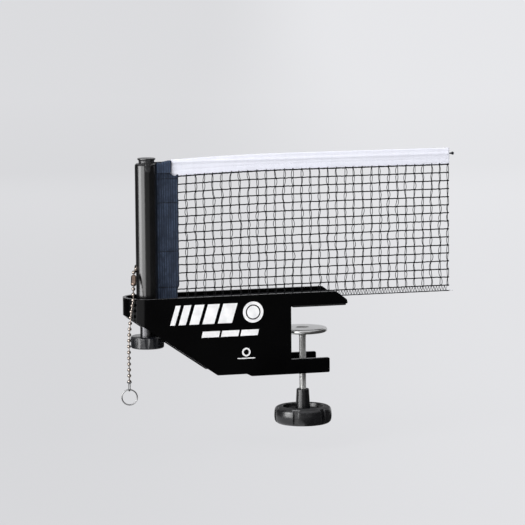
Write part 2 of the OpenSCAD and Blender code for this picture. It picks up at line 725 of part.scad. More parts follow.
module chain_eyelet() {
    color(nickel) at_post() translate([-bore_r, 0, chain_exit_h]) rotate([0, -90, 0])
        difference() {
            union() {
                translate([0, 0, -1]) cylinder(h = post_wall + 1.5, r = exit_r - fit, $fn = 32);
                translate([0, 0, post_wall + 0.15]) cylinder(h = 0.8, r = exit_r + 0.9, $fn = 32);
            }
            translate([0, 0, -2]) cylinder(h = 6, r = eye_r, $fn = 32);
        }
}
module chain_short() {
    color(nickel) at_post() strand(concat(slice(inner_beads, 0, 1), slice(outer_beads, 0, 2)));
}
module chain_coupling() {
    a = outer_beads[2];
    b = outer_beads[3];
    wall = 0.55;
    r = bead_r + 0.25;
    over = bead_r + 0.3;
    len = norm(b - a);
    color(brass) at_post() aim(a, b) difference() {
        rotate_extrude() polygon(rounded([[0, -over - wall, 0], [r - 0.4, -over - wall, 0.8],
            [r + wall, -bead_r + 0.6, 0.8], [r + wall, len + bead_r - 0.6, 0.8],
            [r - 0.4, len + over + wall, 0.8], [0, len + over + wall, 0]]));
        rotate_extrude() polygon(rounded([[0, -over, 0], [r - 0.9, -over, 0.5],
            [r, -bead_r + 0.7, 0.5], [r, len + bead_r - 0.7, 0.5],
            [r - 0.9, len + over, 0.5], [0, len + over, 0]]));
        rod(-over - 2, len + over + 2, neck_wire + 0.4);
        translate([0, 0, len / 2]) rotate([90, 0, 60]) cylinder(h = 2 * r, r = bead_r + 0.1);
        rotate(60) bar(-0.75, 0.75, -2 * r, 0, -over - 2, len + over + 2);
    }
}
module chain_drape() {
    color(nickel) at_post() strand(slice(outer_beads, 3, outer_count));
}
module chain_fall() {
    color(nickel) at_post() {
        strand(slice(fall_pts, 1, fall_beads));
        wire(fall_pts[0] + unit(fall_pts[1] - fall_pts[0]) * (bead_r + 0.15), fall_pts[1], neck_wire);
    }
}
ring_r = (ring_d - ring_wire) / 2;
link_r = 1.5;
link_wire = 0.45;
link_reach = 9.4;    // from the last bead's centre down to the middle of the link's lower bend
ring_turn = -17;

module ring_link() {
    cup_r = bead_r + 0.1;
    color(nickel) at_post() translate(last_pt) {
        difference() {
            sphere(cup_r + 0.5, $fn = 32);
            sphere(cup_r, $fn = 32);
            rod(-0.2, cup_r + 2, cup_r + 2);
        }
        rotate(ring_turn + 62) {
            for (s = [-1, 1]) translate([s * link_r, 0, -link_reach + link_r])
                cylinder(h = link_reach - link_r - cup_r * 0.75, r = link_wire, $fn = 24);
            translate([0, 0, -link_reach + link_r]) rotate([-90, 0, 0])
                rotate_extrude(angle = 180) translate([link_r, 0]) circle(link_wire, $fn = 24);
        }
    }
}
module pull_ring() {
    drop = link_reach - link_wire - 0.15 - ring_wire / 2 + ring_r;
    color(nickel) at_post() translate(last_pt - [0, 0, drop]) rotate([90, 0, ring_turn])
        rotate_extrude($fn = 64) translate([ring_r, 0]) circle(ring_wire / 2, $fn = 24);
}

bracket();
jaw_plate();
jaw_pad();
lower_bridge();
clamp_nut();
post_guide();
bearing_plate();
guide_screws();
pressure_disc();
disc_washer();
clamp_screw();
star_knob();
knob_insert();
height_spindle();
thrust_washer();
spindle_clip();
height_knob();
knob_screw();
post_tube();
spindle_nut();
post_cap();
sleeve_rod();
net_sleeve();
tape_end();
net_tape();
net_mesh();
net_hem();
hem_cord();
tension_cord();
cord_clasp();
chain_eyelet();
chain_short();
chain_coupling();
chain_drape();
chain_fall();
ring_link();
pull_ring();
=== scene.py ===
import math
import random

import bpy
from mathutils import Matrix, Vector, noise


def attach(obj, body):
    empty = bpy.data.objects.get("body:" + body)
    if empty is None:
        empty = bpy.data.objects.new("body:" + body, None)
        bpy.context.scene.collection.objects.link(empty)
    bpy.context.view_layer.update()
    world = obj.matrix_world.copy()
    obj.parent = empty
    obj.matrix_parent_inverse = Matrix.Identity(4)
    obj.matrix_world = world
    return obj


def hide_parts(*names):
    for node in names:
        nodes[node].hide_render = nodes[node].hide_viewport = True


# Net clamp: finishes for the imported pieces, and finer pieces in place of the plain screw, net,
# cloth and cords, with a mark printed on the cheek
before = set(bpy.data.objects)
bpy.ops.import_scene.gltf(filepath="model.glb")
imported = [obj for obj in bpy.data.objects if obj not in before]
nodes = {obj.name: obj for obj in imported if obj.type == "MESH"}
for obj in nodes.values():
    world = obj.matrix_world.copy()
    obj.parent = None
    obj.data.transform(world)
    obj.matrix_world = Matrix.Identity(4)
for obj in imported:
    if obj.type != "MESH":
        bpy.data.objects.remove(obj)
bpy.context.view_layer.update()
mm = 0.001
postAxis = -161  # lengths are in millimetres; camera, lamps, panels and floor are in metres

cameraSetup = {
    "lens": 205.714,
    "sensor": 36,
    "azimuth": 16.64,  # degrees to the right of +Y
    "elevation": 6.53,  # degrees looking down
    "roll": -0.47,
    "target": (-41.3 * mm, 0, 43.5 * mm),
    "distance": 3.0,
    "sees": (0.05, 60),
}


def newObject(name, data):
    made = bpy.data.objects.new(name, data)
    bpy.context.scene.collection.objects.link(made)
    return made


def makeCamera(s):
    az, el, roll = (math.radians(s[k]) for k in ("azimuth", "elevation", "roll"))
    ahead = Vector((math.sin(az) * math.cos(el), math.cos(az) * math.cos(el), -math.sin(el)))
    level = Vector((math.cos(az), -math.sin(az), 0))
    above = level.cross(ahead)
    right = level * math.cos(roll) + above * math.sin(roll)
    up = above * math.cos(roll) - level * math.sin(roll)
    data = bpy.data.cameras.new("camera")
    data.lens, data.sensor_width = s["lens"], s["sensor"]
    data.clip_start, data.clip_end = s["sees"]
    camera = newObject("camera", data)
    turn = Matrix((right, up, -ahead)).transposed().to_4x4()
    camera.matrix_world = Matrix.Translation(Vector(s["target"]) - ahead * s["distance"]) @ turn
    bpy.context.scene.camera = camera


makeCamera(cameraSetup)
print("camera placed")


def feed(tree, socket, value):
    # another node's output is linked, anything else is set
    if isinstance(value, bpy.types.NodeSocket):
        tree.links.new(value, socket)
    else:
        socket.default_value = value


def addNode(tree, kind, inputs=None, **settings):
    node = tree.nodes.new("ShaderNode" + kind)
    for key, value in settings.items():
        setattr(node, key, value)
    for key, value in (inputs or {}).items():
        feed(tree, node.inputs[key], value)
    return node


def mathNode(tree, operation, *values):
    return addNode(tree, "Math", dict(enumerate(values)), operation=operation).outputs[0]


def times(tree, first, second):
    return mathNode(tree, "MULTIPLY", first, second)


def mapTo(tree, value, low, high, fromLow=0.0, fromHigh=1.0, **settings):
    spread = {"Value": value, "From Min": fromLow, "From Max": fromHigh, "To Min": low, "To Max": high}
    return addNode(tree, "MapRange", spread, **settings).outputs[0]


def mixColour(tree, share, first, second):
    return addNode(tree, "Mix", {0: share, 6: first, 7: second}, data_type="RGBA").outputs[2]


def objectPlace(tree):
    return addNode(tree, "TexCoord").outputs["Object"]


def splitXYZ(tree, value):
    return addNode(tree, "SeparateXYZ", {0: value}).outputs


def noiseOf(tree, place, size, detail):
    # size is in millimetres
    scale = mathNode(tree, "DIVIDE", 1 / mm, size)
    return addNode(tree, "TexNoise", {"Vector": place, "Scale": scale, "Detail": detail}).outputs[0]


def wavePhase(tree, along, pitch):
    # pi for each pitch, which is in millimetres
    return mathNode(tree, "DIVIDE", along, times(tree, pitch, mm / math.pi))


def newGroup(name, inputs, outputs):
    tree = bpy.data.node_groups.new(name, "ShaderNodeTree")
    for label, value in inputs.items():
        socket = tree.interface.new_socket(name=label, in_out="INPUT", socket_type="NodeSocketFloat")
        socket.default_value = value
    for label, kind in outputs.items():
        tree.interface.new_socket(name=label, in_out="OUTPUT", socket_type="NodeSocket" + kind)
    return tree, tree.nodes.new("NodeGroupInput").outputs, tree.nodes.new("NodeGroupOutput").inputs


def useGroup(tree, group, values):
    return addNode(tree, "Group", values, node_tree=group).outputs


def newMaterial(name, base=(0.8, 0.8, 0.8), roughness=0.5, more=None):
    material = bpy.data.materials.new(name)
    material.use_nodes = True
    tree = material.node_tree
    sockets = tree.nodes["Principled BSDF"].inputs
    for key, value in {"Base Color": (*base, 1), "Roughness": roughness, **(more or {})}.items():
        sockets[key].default_value = value
    return material, tree, sockets


def makeSurfaceGrain():
    # fine bumps of a coat or a moulding, and slow blotches for colour and gloss
    tree, given, result = newGroup(
        "surfaceGrain", {"Size": 1.0, "Blotch Size": 12.0}, {"Height": "Float", "Blotch": "Float"}
    )
    place = objectPlace(tree)
    feed(tree, result["Height"], noiseOf(tree, place, given["Size"], 2))
    slow = noiseOf(tree, place, given["Blotch Size"], 3)
    feed(tree, result["Blotch"], mapTo(tree, slow, 0, 1, 0.3, 0.7))
    return tree


def makeEdgeScuffAndHighlight():
    # 1 on sharp edges, 0 on flats, broken up in patches: partly scuffing of the edges and partly a painted
    # edge highlight
    tree, given, result = newGroup(
        "edgeScuffAndHighlight",
        {"Radius": 0.4, "Break Size": 6.0, "Break Low": 0.4, "Break High": 0.6, "Upward": 0.0},
        {"Mask": "Float", "Normal": "Vector"},
    )
    radius = times(tree, given["Radius"], mm)
    soft = addNode(tree, "Bevel", {"Radius": radius}, samples=4).outputs[0]
    flat = addNode(tree, "NewGeometry").outputs["Normal"]
    same = addNode(tree, "VectorMath", {0: soft, 1: flat}, operation="DOT_PRODUCT").outputs["Value"]
    edge = mapTo(tree, same, 0, 1, 0.995, 0.9)
    patches = noiseOf(tree, objectPlace(tree), given["Break Size"], 4)
    broken = mapTo(tree, patches, 0, 1, given["Break Low"], given["Break High"])
    # painted highlight: with Upward set, only edges that face up get it, as if lit from above
    upwardHighlight = mapTo(tree, splitXYZ(tree, soft)["Z"], 0, 1, 0, 0.35)
    chosen = addNode(tree, "Mix", {0: given["Upward"], 2: 1.0, 3: upwardHighlight}, data_type="FLOAT").outputs[0]
    feed(tree, result["Mask"], times(tree, times(tree, edge, broken), chosen))
    feed(tree, result["Normal"], soft)
    return tree


def makeTurning():
    # fine rings round an upright axis, as a lathe or a plating line leaves them
    tree, given, result = newGroup("turning", {"Pitch": 0.3}, {"Rings": "Float"})
    height = splitXYZ(tree, objectPlace(tree))["Z"]
    turns = mathNode(tree, "DIVIDE", height, times(tree, given["Pitch"], mm))
    rings = addNode(tree, "TexNoise", {"W": turns, "Detail": 3}, noise_dimensions="1D").outputs[0]
    feed(tree, result["Rings"], rings)
    return tree


def makeWeave():
    # plain weave on the cloth's two directions, X along the net and Z up
    tree, given, result = newGroup(
        "plainWeave", {"Along": 0.45, "Up": 0.45}, {"Height": "Float", "Fleck": "Float"}
    )
    place = objectPlace(tree)
    axes = splitXYZ(tree, place)
    along = mathNode(tree, "SINE", wavePhase(tree, axes["X"], given["Along"]))
    up = mathNode(tree, "SINE", wavePhase(tree, axes["Z"], given["Up"]))
    crossed = times(tree, along, up)
    feed(tree, result["Height"], mathNode(tree, "MULTIPLY_ADD", crossed, 0.5, 0.5))
    fleck = addNode(tree, "TexNoise", {"Vector": place, "Scale": 900, "Detail": 2}).outputs[0]
    feed(tree, result["Fleck"], fleck)
    return tree


webbing = {"left": -150.4, "ribPitch": 2.4}  # of the sleeve and the tab, for their shape and colour


def makeUpLines():
    # painted shade in the grooves between the ribs of webbing, and slow uneven streaks, both running up the
    # cloth
    tree, given, result = newGroup(
        "upLines", {"Rib Pitch": webbing["ribPitch"]}, {"GrooveShade": "Float", "Streak": "Float"}
    )
    place = splitXYZ(tree, objectPlace(tree))
    fromEdge = mathNode(tree, "SUBTRACT", place["X"], webbing["left"] * mm)
    wave = mathNode(tree, "SINE", wavePhase(tree, fromEdge, given["Rib Pitch"]))
    feed(tree, result["GrooveShade"], mapTo(tree, mathNode(tree, "ABSOLUTE", wave), 0, 1, 0.75, 0.15))
    slowUp = times(tree, place["Z"], 0.12)
    stretched = addNode(tree, "CombineXYZ", {0: place["X"], 1: 0.0, 2: slowUp}).outputs[0]
    look = {"Vector": stretched, "Scale": 260, "Detail": 4, "Roughness": 0.65}
    slow = addNode(tree, "TexNoise", look).outputs[0]
    feed(tree, result["Streak"], mapTo(tree, slow, 0, 1, 0.4, 0.64))
    return tree


surfaceGrain, edgeScuffAndHighlight, turning = makeSurfaceGrain(), makeEdgeScuffAndHighlight(), makeTurning()
plainWeave, upLines = makeWeave(), makeUpLines()
print("shared effects built")


def grey(value):
    return (value, value, value)


def tinted(colour, share=1):
    return (*(min(1, c * share) for c in colour), 1)


def bumpOn(tree, sockets, height, strength, distance, normal=None):
    given = {"Height": height, "Strength": strength, "Distance": distance * mm}
    if normal is not None:
        given["Normal"] = normal
    feed(tree, sockets["Normal"], addNode(tree, "Bump", given).outputs[0])


def scuffedAndHighlitEdges(name, s):
    # paint or moulded plastic, blotched a little, with parts of its edges paler: partly scuffing and partly a
    # painted highlight
    more = {"Specular IOR Level": s["specular"]}
    material, tree, sockets = newMaterial(name, s["base"], s["roughness"], more)
    grain = useGroup(tree, surfaceGrain, {"Size": s["grain"], "Blotch Size": s["blotch"]})
    low, high = s["broken"]
    patchy = {"Break Size": 9, "Break Low": low, "Break High": high}
    edge = useGroup(tree, edgeScuffAndHighlight, {"Radius": s["edge"], "Upward": s["upward"], **patchy})
    colour = mixColour(tree, grain["Blotch"], tinted(s["base"]), tinted(s["base"], s["paler"]))
    # paler edges: scuffing, and a painted highlight that favours edges facing up
    scuffAndHighlight = times(tree, edge["Mask"], s["wear"])
    feed(tree, sockets["Base Color"], mixColour(tree, scuffAndHighlight, colour, tinted(s["edgeColour"])))
    gloss = mapTo(tree, grain["Blotch"], s["roughness"] * 0.8, s["roughness"] * 1.25)
    if s.get("dullTop"):  # roughness of the faces that look up
        rise = splitXYZ(tree, addNode(tree, "NewGeometry").outputs["Normal"])["Z"]
        gloss = mathNode(tree, "MAXIMUM", gloss, mapTo(tree, rise, 0, s["dullTop"], 0.35, 0.85))
    feed(tree, sockets["Roughness"], gloss)
    bumpOn(tree, sockets, grain["Height"], s["bump"], s["bumpDepth"], edge["Normal"])
    return material


def platedMetal(name, s):
    more = {"Metallic": s.get("metal", 1), "Specular Tint": tinted(s["rim"])}
    material, tree, sockets = newMaterial(name, s["base"], s["roughness"], more)
    rings = useGroup(tree, turning, {"Pitch": s["pitch"]})["Rings"]
    grain = useGroup(tree, surfaceGrain, {"Size": 0.5, "Blotch Size": 5})
    stained = mapTo(tree, grain["Blotch"], 0, 0.6)
    colour = mixColour(tree, stained, tinted(s["base"]), tinted(s["base"], s["dark"]))
    feed(tree, sockets["Base Color"], colour)
    feed(tree, sockets["Roughness"], mapTo(tree, rings, s["roughness"] * 0.7, s["roughness"] * 1.4))
    bumpOn(tree, sockets, rings, s["bump"], 0.01)
    return material


def wovenCloth(name, s):
    more = {"Specular IOR Level": 0.25, "Sheen Weight": s["sheen"], "Sheen Roughness": 0.45}
    material, tree, sockets = newMaterial(name, s["base"], 0.88, more)
    weave = useGroup(tree, plainWeave, {"Along": s["along"], "Up": s["up"]})
    grain = useGroup(tree, surfaceGrain, {"Size": 1, "Blotch Size": 14})
    # painted shade: the weave's hollows are darkened to the base colour times deep
    hollowShadeMask = mapTo(tree, weave["Height"], 1, 0)
    colour = mixColour(tree, hollowShadeMask, tinted(s["base"]), tinted(s["base"], s["deep"]))
    fleck = mapTo(tree, weave["Fleck"], 0, s["fleck"], 0.45, 0.75)
    colour = mixColour(tree, fleck, colour, tinted(s["fleckColour"]))
    if s["ribs"] or s["streak"]:
        lines = useGroup(tree, upLines, {"Rib Pitch": webbing["ribPitch"]})
        # painted shade: the grooves between the ribs are darkened nearly to black
        dark = times(tree, lines["GrooveShade"], s["ribs"])
        colour = mixColour(tree, dark, colour, (0.004, 0.005, 0.009, 1))
        uneven = times(tree, lines["Streak"], s["streak"])
        colour = mixColour(tree, uneven, colour, tinted(s["base"], 0.35))
    if s["mottle"]:
        # darker in random patches
        patchy = useGroup(tree, surfaceGrain, {"Size": 1, "Blotch Size": 4.5})
        patch = mapTo(tree, patchy["Blotch"], 0, s["mottle"], 0.35, 0.85)
        colour = mixColour(tree, patch, colour, tinted(s["base"], 0.3))
    feed(tree, sockets["Base Color"], colour)
    feed(tree, sockets["Roughness"], mapTo(tree, grain["Blotch"], 0.8, 0.95))
    bumpOn(tree, sockets, weave["Height"], s["bump"], 0.12)
    return material


def makeRubber(name, s):
    material, tree, sockets = newMaterial(name, s["base"], 0.8, {"Specular IOR Level": 0.3})
    grain = useGroup(tree, surfaceGrain, {"Size": 0.8, "Blotch Size": 7})
    colour = mixColour(tree, grain["Blotch"], tinted(s["base"]), tinted(s["bloom"]))
    feed(tree, sockets["Base Color"], colour)
    feed(tree, sockets["Roughness"], mapTo(tree, grain["Blotch"], 0.7, 0.9))
    bumpOn(tree, sockets, grain["Height"], 0.5, 0.05)
    return material


# what several finishes share
paint = {"paler": 1.6, "blotch": 30, "bump": 0.05, "bumpDepth": 0.02, "broken": (0.4, 0.6), "upward": 0}
plastic = {**paint, "paler": 1.35, "blotch": 9, "grain": 0.4, "bumpDepth": 0.03}
# edge settings: scuffed edges with a painted highlight, more on edges facing up
scuffAndHighlight = {"edge": 0.8, "wear": 0.6, "broken": (0.3, 0.6), "upward": 0.6}
zinc = {"roughness": 0.27, "pitch": 0.35, "dark": 0.85, "bump": 0.12}
navyCloth = {"deep": 0.45, "sheen": 0.15, "along": 0.34, "up": 0.5, "bump": 0.5}
plain = {"ribs": 0, "streak": 0, "mottle": 0}
yarn = {**plain, "deep": 0.6, "sheen": 0, "along": 0.3, "up": 0.3, "bump": 0.5, "fleck": 0.3}
cordYarn = {**yarn, "sheen": 0.1, "along": 0.5, "up": 0.5}

# edgeColour and wear paint the edges paler: partly scuffing, partly a painted edge highlight; upward keeps it
# to edges facing up
coats = {
    "blackCoat": {
        **paint, "base": (0.0009, 0.0009, 0.001), "roughness": 0.15, "specular": 0.055, "grain": 0.9,
        "edge": 0.8, "wear": 0.9, "edgeColour": (0.12, 0.12, 0.124), "broken": (0.2, 0.45), "upward": 1,
    },
    "postEnamel": {
        **paint, "base": (0.004, 0.004, 0.0043), "roughness": 0.19, "specular": 0.72, "grain": 0.7,
        "bump": 0.04, "edge": 0.25, "wear": 0.3, "edgeColour": grey(0.1),
    },
    "knobPlastic": {
        **plastic, "base": (0.0045, 0.0047, 0.0055), "roughness": 0.24, "specular": 0.85, "grain": 0.45,
        "bump": 0.14, "dullTop": 0.75, "edge": 1.3, "wear": 0.9, "edgeColour": (0.2, 0.2, 0.21),
        "broken": (0.2, 0.5), "upward": 0.8,
    },
    "heightKnobPlastic": {
        **plastic, **scuffAndHighlight, "base": (0.006, 0.0066, 0.009), "roughness": 0.26, "specular": 0.85,
        "grain": 0.6, "edgeColour": (0.12, 0.12, 0.13),
    },
    "capPlastic": {
        **plastic, **scuffAndHighlight, "base": (0.014, 0.014, 0.015), "roughness": 0.3, "specular": 0.7,
        "bump": 0.1, "edge": 0.3, "edgeColour": (0.16, 0.16, 0.165),
    },
    "guidePlastic": {
        **plastic, "base": (0.009, 0.009, 0.01), "roughness": 0.45, "specular": 0.4,
        "bump": 0.12, "edge": 0.3, "wear": 0.2, "edgeColour": grey(0.08),
    },
    "nylon": {
        **plastic, "base": (0.66, 0.66, 0.62), "roughness": 0.4, "specular": 0.5,
        "bump": 0.1, "edge": 0.2, "wear": 0.1, "edgeColour": (0.7, 0.7, 0.66),
    },
    "whiteInk": {
        **plastic, "base": (0.8, 0.8, 0.81), "roughness": 0.35, "specular": 0.4, "grain": 0.3,
        "edge": 0.05, "wear": 0, "edgeColour": grey(0.7),
    },
}
metals = {
    "brightZinc": {**zinc, "base": (0.84, 0.84, 0.83), "rim": grey(0.75)},
    "screwZinc": {**zinc, "base": (0.9, 0.9, 0.88), "rim": grey(0.35), "metal": 0.8},
    "satinZinc": {
        "base": (0.11, 0.11, 0.115), "rim": grey(0.4),
        "roughness": 0.26, "pitch": 0.3, "dark": 0.7, "bump": 0.25,
    },
    "zincSteel": {
        "base": (0.55, 0.55, 0.53), "rim": grey(0.7),
        "roughness": 0.34, "pitch": 0.3, "dark": 0.75, "bump": 0.3,
    },
    "nickel": {
        "base": (0.4, 0.35, 0.31), "rim": (0.03, 0.02, 0.015),
        "roughness": 0.14, "pitch": 0.5, "dark": 0.6, "bump": 0.05,
    },
    "ringSteel": {
        "base": grey(0.34), "rim": grey(0.12), "roughness": 0.2, "pitch": 0.4, "dark": 0.6, "bump": 0.05,
    },
    "brass": {
        "base": (0.76, 0.57, 0.28), "rim": (0.8, 0.7, 0.5),
        "roughness": 0.3, "pitch": 0.3, "dark": 0.75, "bump": 0.2,
    },
    "couplingBrass": {
        "base": (0.4, 0.29, 0.23), "rim": (0.04, 0.02, 0.015),
        "roughness": 0.1, "pitch": 0.9, "dark": 0.25, "bump": 0.3,
    },
}
rubbers = {"padRubber": {"base": grey(0.01), "bloom": grey(0.02)}}
cloths = {
    "navyWeave": {
        **navyCloth, "base": (0.045, 0.065, 0.113), "fleck": 0.7, "fleckColour": (0.085, 0.12, 0.18),
        "ribs": 0.9, "streak": 0.75, "mottle": 0.65,
    },
    "tabWeave": {
        **navyCloth, "base": (0.058, 0.083, 0.142), "fleck": 0.4, "fleckColour": (0.09, 0.125, 0.19),
        "ribs": 0.7, "streak": 0.5, "mottle": 0.5,
    },
    "whiteTape": {
        **plain, "base": (0.83, 0.84, 0.92), "deep": 0.95, "sheen": 0.05, "along": 0.4, "up": 0.4,
        "bump": 0.3, "fleck": 0.2, "fleckColour": (0.7, 0.72, 0.84), "streak": 0.06,
    },
    "softThread": {**yarn, "base": (0.006, 0.006, 0.007), "fleckColour": (0.02, 0.02, 0.022)},
    "netThread": {**yarn, "base": (0.007, 0.0073, 0.009), "fleckColour": (0.025, 0.025, 0.029)},
    "hemThread": {**yarn, "base": (0.012, 0.0125, 0.015), "fleckColour": (0.05, 0.05, 0.056), "sheen": 0.05},
    "whiteCord": {
        **cordYarn, "base": (0.78, 0.79, 0.82), "fleck": 0.1, "fleckColour": (0.6, 0.6, 0.62), "deep": 0.75,
    },
    "darkCord": {**cordYarn, "base": (0.018, 0.019, 0.026), "fleck": 0.2, "fleckColour": (0.05, 0.05, 0.07)},
}
materials = {}
for build, kind in ((scuffedAndHighlitEdges, coats), (platedMetal, metals), (makeRubber, rubbers), (wovenCloth, cloths)):
    materials.update({name: build(name, look) for name, look in kind.items()})

packedFinishes = {
    "blackCoat": ("bracket", "jaw_plate", "lower_bridge", "bearing_plate", "guide_screws"),
    "padRubber": ("jaw_pad",),
    "zincSteel": ("clamp_nut", "disc_washer", "thrust_washer", "spindle_clip", "knob_screw"),
    "guidePlastic": ("post_guide",),
    "brightZinc": ("pressure_disc", "clamp_screw"),
    "satinZinc": ("height_spindle",),
    "knobPlastic": ("star_knob",),
    "heightKnobPlastic": ("height_knob",),
    "brass": ("knob_insert", "spindle_nut"),
    "postEnamel": ("post_tube",),
    "capPlastic": ("post_cap",),
    "nylon": ("sleeve_rod",),
    "nickel": ("chain_eyelet", "cord_clasp", "chain_short", "chain_drape", "chain_fall"),
    "couplingBrass": ("chain_coupling",),
    "ringSteel": ("ring_link", "pull_ring"),
    "navyWeave": ("net_sleeve",),
    "tabWeave": ("tape_end",),
    "whiteTape": ("net_tape",),
    "netThread": ("net_mesh",),
    "hemThread": ("net_hem",),
    "whiteCord": ("hem_cord",),
    "darkCord": ("tension_cord",),
}
for finish, packed in packedFinishes.items():
    for node in packed:
        for place in nodes[node].material_slots:
            place.material = materials[finish]
print("finishes on the packed pieces")


def vec(x, y, z):
    return Vector((x, y, z)) * mm


def ripple(x, y, z):
    return noise.noise(Vector((x, y, z)))


def evenly(first, last, steps):
    return [first + (last - first) * i / steps for i in range(steps + 1)]


def meshObject(name, points, faces, material, smooth=True):
    mesh = bpy.data.meshes.new(name)
    mesh.from_pydata([tuple(p) for p in points], [], faces)
    mesh.validate()
    mesh.materials.append(material)
    mesh.polygons.foreach_set("use_smooth", [smooth] * len(mesh.polygons))
    return newObject(name, mesh)


def makePiece(name, mesh, finish, replaced=(), body="post_body", smooth=True):
    piece = meshObject(name, *mesh, materials[finish], smooth)
    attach(piece, body)
    if replaced:
        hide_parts(*replaced)
    return piece


def join(*parts):
    points, faces = [], []
    for partPoints, partFaces in parts:
        shift = len(points)
        points += partPoints
        faces += [tuple(v + shift for v in face) for face in partFaces]
    return points, faces


def pathDirection(path, i):
    return (path[min(i + 1, len(path) - 1)] - path[max(i - 1, 0)]).normalized()


def sweepTubes(paths, radius, sides=6):
    # round tubes along lists of points, all in one mesh; radius may change along each tube
    points, faces = [], []
    for path in paths:
        start = len(points)
        side = None
        for i, p in enumerate(path):
            ahead = pathDirection(path, i)
            if side is None:
                side = ahead.cross(Vector((0, 1, 0.1))).normalized()  # any direction across will do
            side = (side - ahead * side.dot(ahead)).normalized()
            other = ahead.cross(side)
            r = radius(i / (len(path) - 1)) if callable(radius) else radius
            for k in range(sides):
                a = 2 * math.pi * k / sides
                points.append(p + (side * math.cos(a) + other * math.sin(a)) * r)
        for i in range(len(path) - 1):
            for k in range(sides):
                a, b = start + i * sides + k, start + i * sides + (k + 1) % sides
                faces.append((a, b, b + sides, a + sides))
        faces.append(tuple(reversed(range(start, start + sides))))
        faces.append(tuple(range(len(points) - sides, len(points))))
    return points, faces


def gridFaces(rows, columns, closed=False):
    # quads of a grid of rows of points; closed joins the last column to the first
    faces = []
    for r in range(rows - 1):
        for c in range(columns if closed else columns - 1):
            a, b = r * columns + c, r * columns + (c + 1) % columns
            faces.append((a, b, b + columns, a + columns))
    return faces


clampThread = {
    "radius": 3.6, "depth": 0.5, "pitch": 1.25, "from": -88, "to": -31.8,
    "sides": 40, "ringsPerPitch": 6,
    "flank": 1.25,  # steepness of the groove's sides
    "crest": 0.12,  # share of the pitch that stays full
    "below": ((2.8, -109), (3.6, -108.2)),  # plain ends as (radius, height)
    "above": ((3.6, -31.6), (3.0, -30.8), (2.5, -30.7), (2.5, -23.9), (2.1, -23.6)),
}


def threadedRod(s):
    sides = s["sides"]
    rows = [[(r, z)] * sides for r, z in s["below"]]
    for z in evenly(s["from"], s["to"], round((s["to"] - s["from"]) / s["pitch"] * s["ringsPerPitch"])):
        fade = min(1, (z - s["from"]) / s["pitch"], (s["to"] - z) / s["pitch"])
        row = []
        for k in range(sides):
            wave = abs(((z / s["pitch"] - k / sides) % 1) * 2 - 1)
            groove = min(1, max(0, wave * s["flank"] - s["crest"]))
            row.append((s["radius"] - s["depth"] * fade * groove, z))
        rows.append(row)
    rows += [[(r, z)] * sides for r, z in s["above"]]
    points = []
    for row in rows:
        for k, (r, z) in enumerate(row):
            a = 2 * math.pi * k / sides
            points.append(vec(r * math.cos(a), r * math.sin(a), z))
    faces = gridFaces(len(rows), sides, closed=True)
    faces += [tuple(reversed(range(sides))), tuple(range(len(points) - sides, len(points)))]
    return points, faces


clampScrew = threadedRod(clampThread)
makePiece("clampScrew", clampScrew, "screwZinc", ["clamp_screw"], "screw_body")
print("thread cut")

net = {
    "left": -128.3, "right": 157.0,  # edge of the sleeve and cut end
    "foot": 12.4, "top": 152.5,
    "dip": 3.3, "dipAt": -133.0,  # of the top edge
    "tapeHeight": 16.0,
    "cordZ": 147.0,
    "columns": 31, "firstColumn": -119.6, "columnPitch": 9.2,
    "rows": 15,
    "topGap": 0.7,  # from the highest row to the tape
    "tuck": 1,  # of the rows into the sleeve
    "rowWave": 0.26, "rowShake": 0.32,
    "rowSway": 0.12,  # to the front and back
    "rowSteps": 8,  # to one column
    "rowRadius": 0.6, "topRowRadius": 0.74,
}
strand = {  # two threads run up each column and are knotted to every row
    "drift": 1.5, "shake": 0.35,  # of a column in slow waves, and of each knot
    "gaps": (0.3, 0.42, 0.55, 0.7, 0.95),  # half widths of the loops, one drawn for each opening
    "fullness": 0.4,  # lower makes squarer loops
    "apart": 0.16, "bow": 0.8, "twist": 0.5, "steps": 6, "radius": 0.36,
    "ends": ((0.5, 0.7, 0), (0.4, 1.3, 0.6), (0, 1.36, 1.5)),  # across, out and up from the last knot
    "knotReach": (-1.3, -0.7, 0, 0.7, 1.3),
    "knotRadius": (0.5, 0.38),  # at its ends, and what its middle adds
    "knotMargin": 1.4, "margin": 0.4,  # from the cut end
}


def tapeTop(x):
    return net["top"] - net["dip"] * (min(0, x) / net["dipAt"]) ** 2


def rowHeight(x, j):
    foot, top = net["foot"], tapeTop(x) - net["tapeHeight"] - net["topGap"]
    wave = net["rowWave"] * ripple(x * 0.06, j * 3.7, 1.3) if 0 < j < net["rows"] else 0
    wave += net["rowShake"] * ripple(x * 0.6, j * 1.9, 7.7)
    return foot + (top - foot) * j / net["rows"] + wave


def rowPath(j):
    stations = evenly(net["left"] - net["tuck"], net["right"], net["rowSteps"] * net["columns"])
    sway = [net["rowSway"] * math.sin(i * math.pi / 2 + j) for i in range(len(stations))]
    return [vec(x, y, rowHeight(x, j)) for x, y in zip(stations, sway)]


def columnKnots(i):
    knots = []
    for j in range(net["rows"] + 1):
        random.seed(i * 31 + j)
        x = net["firstColumn"] + i * net["columnPitch"] + strand["drift"] * ripple(i * 2.3, j * 0.55, 5.1)
        x += random.uniform(-strand["shake"], strand["shake"])
        x = min(x, net["right"] - strand["knotMargin"])
        knots.append((x, rowHeight(x, j)))
    return knots


def strandPath(i, side, knots):
    line = []
    for j in range(net["rows"]):
        (xa, za), (xb, zb) = knots[j], knots[j + 1]
        random.seed(i * 97 + j)
        gap = random.choice(strand["gaps"])
        bow = random.uniform(-strand["bow"], strand["bow"])
        for k in range(strand["steps"]):
            t = k / strand["steps"]
            spread = math.sin(math.pi * t)
            x = xa + (xb - xa) * t + bow * spread
            x += side * (strand["apart"] + gap * spread ** strand["fullness"])
            y = side * (strand["twist"] * math.cos(math.pi * t) * (1 if j % 2 else -1))
            line.append(vec(min(x, net["right"] - strand["margin"]), y, za + (zb - za) * t))
    x, z = knots[-1]
    return line + [vec(x + side * across, side * out, z + up) for across, out, up in strand["ends"]]


